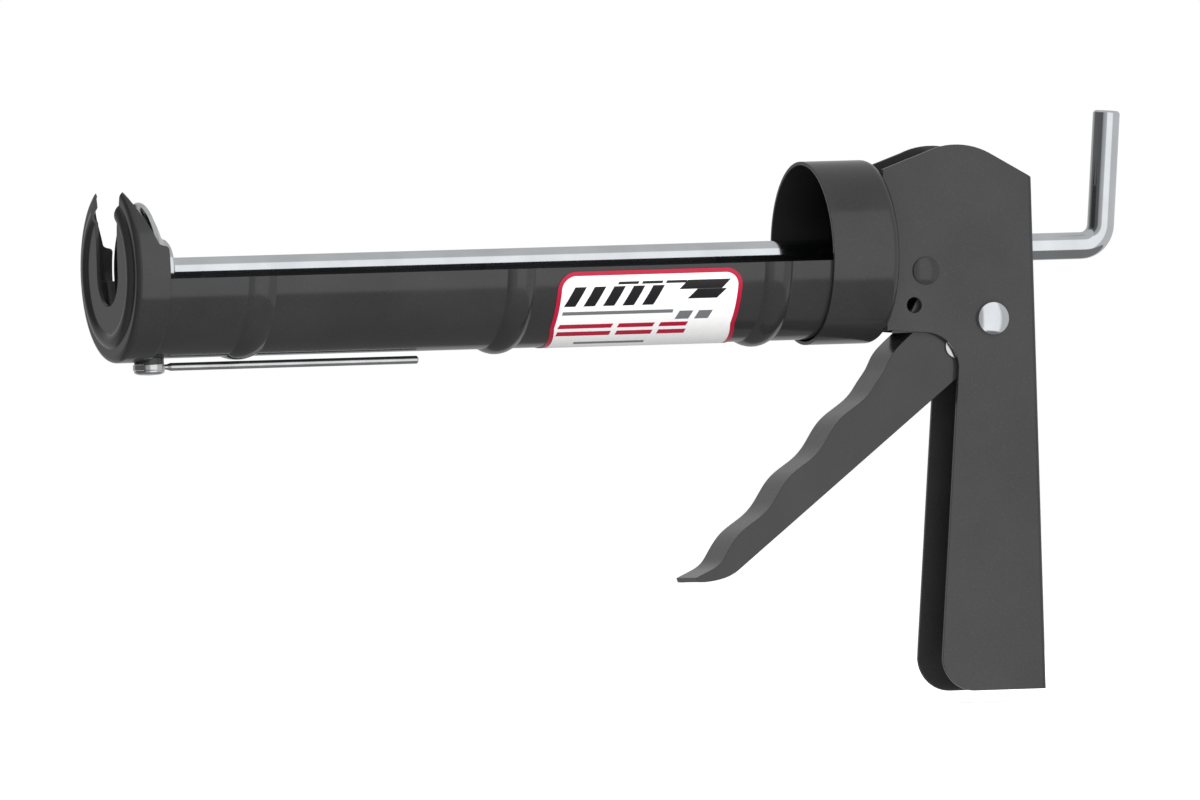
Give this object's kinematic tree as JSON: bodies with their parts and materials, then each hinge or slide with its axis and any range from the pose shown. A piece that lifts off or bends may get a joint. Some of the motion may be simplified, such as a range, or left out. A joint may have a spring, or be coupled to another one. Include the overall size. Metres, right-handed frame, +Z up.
{
  "type": "caulking gun",
  "caption": "Half-barrel caulking gun: open trough cradle with slotted front cap, toothed push rod with hook end, squeeze trigger and swing-out needle.",
  "frame": {"origin": "on the push rod's axis, in the plane of the front cap's rim face", "axes": "+X along the rod from the nozzle end towards the handle, +Z up away from the handle, Y across the gun"},
  "size_m": [0.3193, 0.0542, 0.1704],
  "materials": {
    "charcoal_paint": "satin",
    "rod_chrome": "polished",
    "bright_zinc": "satin",
    "spring_steel": "satin",
    "pressed_steel": "satin",
    "printed_label": "gloss"
  },
  "bodies": {
    "body": {"front_cap": "charcoal_paint", "cradle": "charcoal_paint", "rear_collar": "charcoal_paint", "bulkhead": "charcoal_paint", "collar_rivet_1": "charcoal_paint", "collar_rivet_2": "charcoal_paint", "collar_rivet_3": "charcoal_paint", "collar_rivet_4": "charcoal_paint", "frame": "charcoal_paint", "front_bushing": "pressed_steel", "rear_bushing": "charcoal_paint", "pivot_rivet": "rod_chrome", "catch_rivet": "charcoal_paint", "pivot_sleeve": "pressed_steel", "pivot_washer_near": "bright_zinc", "pivot_washer_far": "bright_zinc", "catch_spacer": "pressed_steel", "trigger_spring": "spring_steel", "catch_spring": "spring_steel", "needle_washer": "charcoal_paint", "needle_rivet": "bright_zinc", "label": "printed_label"},
    "trigger": {"trigger": "charcoal_paint", "trigger_stop_pin": "bright_zinc", "pawl_pin": "bright_zinc", "trigger_spring_arm": "spring_steel", "pawl_spring": "spring_steel"},
    "drive_pawl": {"drive_pawl": "pressed_steel"},
    "catch": {"catch_pawl": "pressed_steel"},
    "plunger": {"plunger_dish": "bright_zinc", "plunger_hub": "bright_zinc"},
    "rod": {"push_rod": "rod_chrome", "rod_clip": "spring_steel"},
    "needle": {"needle": "bright_zinc"}
  },
  "joints": [
    {"name": "trigger_pivot", "type": "hinge", "parent": "body", "child": "trigger", "pos_m": [0.2718, 0, -0.0208], "axis": [0, -1, 0], "range_deg": [0, 30], "stiffness_Nm_per_rad": 0.6, "springref_deg": -17.19},
    {"name": "drive_pawl_pivot", "type": "hinge", "parent": "trigger", "child": "drive_pawl", "pos_m": [0.27542, 0, -0.00728], "axis": [0, -1, 0], "range_deg": [-30, 0]},
    {"name": "catch_pivot", "type": "hinge", "parent": "body", "child": "catch", "pos_m": [0.2513, 0, -0.0062], "axis": [0, -1, 0], "range_deg": [0, 12], "stiffness_Nm_per_rad": 0.02, "springref_deg": -17.19},
    {"name": "rod_slide", "type": "slide", "parent": "body", "child": "plunger", "axis": [1, 0, 0], "range_m": [0, 0.215]},
    {"name": "rod_swivel", "type": "hinge", "parent": "plunger", "child": "rod", "pos_m": [0.0176, 0, 0], "axis": [1, 0, 0], "continuous": true},
    {"name": "needle_swing", "type": "hinge", "parent": "body", "child": "needle", "pos_m": [0.01175, 0, -0.028], "axis": [0, 0, 1], "continuous": true}
  ],
  "couplings": [
    {"joint": "drive_pawl_pivot", "follows": "trigger_pivot", "ratio": -1}
  ]
}
